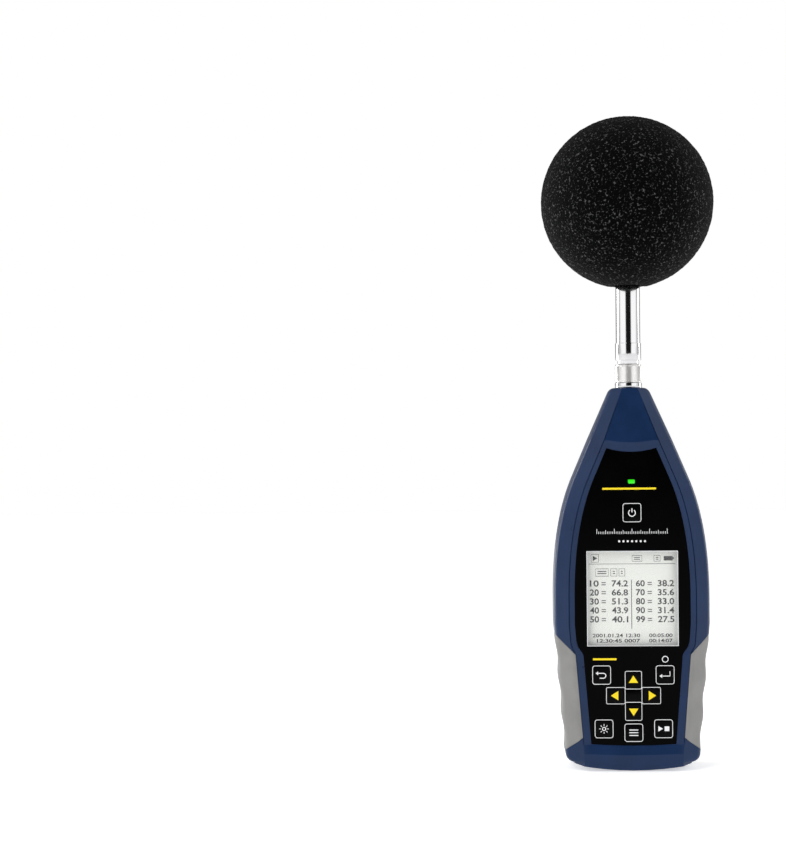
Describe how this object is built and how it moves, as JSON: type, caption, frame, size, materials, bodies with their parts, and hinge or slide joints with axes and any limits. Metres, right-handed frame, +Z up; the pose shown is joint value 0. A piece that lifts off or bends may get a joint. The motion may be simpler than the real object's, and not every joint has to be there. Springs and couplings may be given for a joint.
{
  "type": "sound level meter",
  "caption": "Handheld sound level meter: waisted case with rubber grips, display and keys, screw-on preamplifier with half-inch microphone under a foam windscreen ball.",
  "frame": {"origin": "the microphone axis at the level of the lowest point of the case", "axes": "+Z up along the microphone axis, the display and keys face -Y, +X is to the right of someone looking at the display"},
  "size_m": [0.09, 0.09, 0.338],
  "materials": {
    "case_blue": "satin",
    "grip_rubber": "matte",
    "seal_rubber": "matte",
    "panel_black": "satin",
    "clear_window": "gloss",
    "display_grey": "satin",
    "white_plastic": "matte",
    "plain_steel": "satin",
    "board_green": "satin",
    "black_plastic": "satin",
    "cell_metal": "satin",
    "lens_green": "gloss",
    "key_black": "matte",
    "bright_metal": "polished",
    "brass": "satin",
    "foam_black": "matte"
  },
  "bodies": {
    "meter": {"front_shell": "case_blue", "rear_shell": "case_blue", "case_seal": "seal_rubber", "left_grip": "grip_rubber", "right_grip": "grip_rubber", "front_panel": "panel_black", "lcd_window": "clear_window", "lcd_bezel": "plain_steel", "lcd_glass": "display_grey", "lcd_backlight": "white_plastic", "main_board": "board_green", "processor_chip": "black_plastic", "board_chips": "black_plastic", "backup_cell": "cell_metal", "snap_domes": "plain_steel", "pad_hub": "panel_black", "led_lens": "lens_green", "battery_tray": "black_plastic", "battery_1": "cell_metal", "battery_2": "cell_metal", "battery_3": "cell_metal", "battery_4": "cell_metal", "battery_springs": "plain_steel", "battery_contacts": "plain_steel", "mic_socket": "bright_metal", "socket_nut": "plain_steel", "socket_insulator": "white_plastic", "socket_contact": "brass", "signal_cable": "black_plastic", "usb_socket": "plain_steel", "output_jack": "black_plastic", "dc_jack": "black_plastic", "card_slot": "plain_steel", "case_screws": "plain_steel", "board_screws": "plain_steel", "tripod_bush": "brass"},
    "preamp": {"preamp_tube": "bright_metal", "preamp_insulator": "white_plastic", "preamp_pin": "brass", "preamp_board": "board_green", "mic_body": "bright_metal", "mic_backplate": "brass", "mic_diaphragm": "bright_metal", "mic_grid": "bright_metal"},
    "nut": {"coupling_nut": "bright_metal"},
    "screen": {"windscreen": "foam_black"},
    "cover": {"battery_cover": "case_blue"},
    "card": {"memory_card": "black_plastic"},
    "key_power_body": {"key_power": "key_black"},
    "key_escape_body": {"key_escape": "key_black"},
    "key_enter_body": {"key_enter": "key_black"},
    "key_up_body": {"key_up": "key_black"},
    "key_left_body": {"key_left": "key_black"},
    "key_right_body": {"key_right": "key_black"},
    "key_down_body": {"key_down": "key_black"},
    "key_light_body": {"key_light": "key_black"},
    "key_menu_body": {"key_menu": "key_black"},
    "key_start_stop_body": {"key_start_stop": "key_black"}
  },
  "joints": [
    {"name": "preamp_lift", "type": "slide", "parent": "meter", "child": "preamp", "axis": [0, 0, 1], "range_m": [0, 0.025]},
    {"name": "nut_spin", "type": "hinge", "parent": "preamp", "child": "nut", "pos_m": [0, 0, 0.2045], "axis": [0, 0, 1], "continuous": true},
    {"name": "windscreen_pull", "type": "slide", "parent": "preamp", "child": "screen", "axis": [0, 0, 1], "range_m": [0, 0.065]},
    {"name": "battery_cover_hinge", "type": "hinge", "parent": "meter", "child": "cover", "pos_m": [0, 0.018, 0.0774], "axis": [1, 0, 0], "range_deg": [0, 75]},
    {"name": "memory_card_slide", "type": "slide", "parent": "meter", "child": "card", "axis": [0, 0, -1], "range_m": [0, 0.012]},
    {"name": "press_power", "type": "slide", "parent": "meter", "child": "key_power_body", "axis": [0, 1, 0], "range_m": [0, 0.0005], "stiffness_N_per_m": 2000},
    {"name": "press_escape", "type": "slide", "parent": "meter", "child": "key_escape_body", "axis": [0, 1, 0], "range_m": [0, 0.0005], "stiffness_N_per_m": 2000},
    {"name": "press_enter", "type": "slide", "parent": "meter", "child": "key_enter_body", "axis": [0, 1, 0], "range_m": [0, 0.0005], "stiffness_N_per_m": 2000},
    {"name": "press_up", "type": "slide", "parent": "meter", "child": "key_up_body", "axis": [0, 1, 0], "range_m": [0, 0.0005], "stiffness_N_per_m": 2000},
    {"name": "press_left", "type": "slide", "parent": "meter", "child": "key_left_body", "axis": [0, 1, 0], "range_m": [0, 0.0005], "stiffness_N_per_m": 2000},
    {"name": "press_right", "type": "slide", "parent": "meter", "child": "key_right_body", "axis": [0, 1, 0], "range_m": [0, 0.0005], "stiffness_N_per_m": 2000},
    {"name": "press_down", "type": "slide", "parent": "meter", "child": "key_down_body", "axis": [0, 1, 0], "range_m": [0, 0.0005], "stiffness_N_per_m": 2000},
    {"name": "press_light", "type": "slide", "parent": "meter", "child": "key_light_body", "axis": [0, 1, 0], "range_m": [0, 0.0005], "stiffness_N_per_m": 2000},
    {"name": "press_menu", "type": "slide", "parent": "meter", "child": "key_menu_body", "axis": [0, 1, 0], "range_m": [0, 0.0005], "stiffness_N_per_m": 2000},
    {"name": "press_start_stop", "type": "slide", "parent": "meter", "child": "key_start_stop_body", "axis": [0, 1, 0], "range_m": [0, 0.0005], "stiffness_N_per_m": 2000}
  ]
}
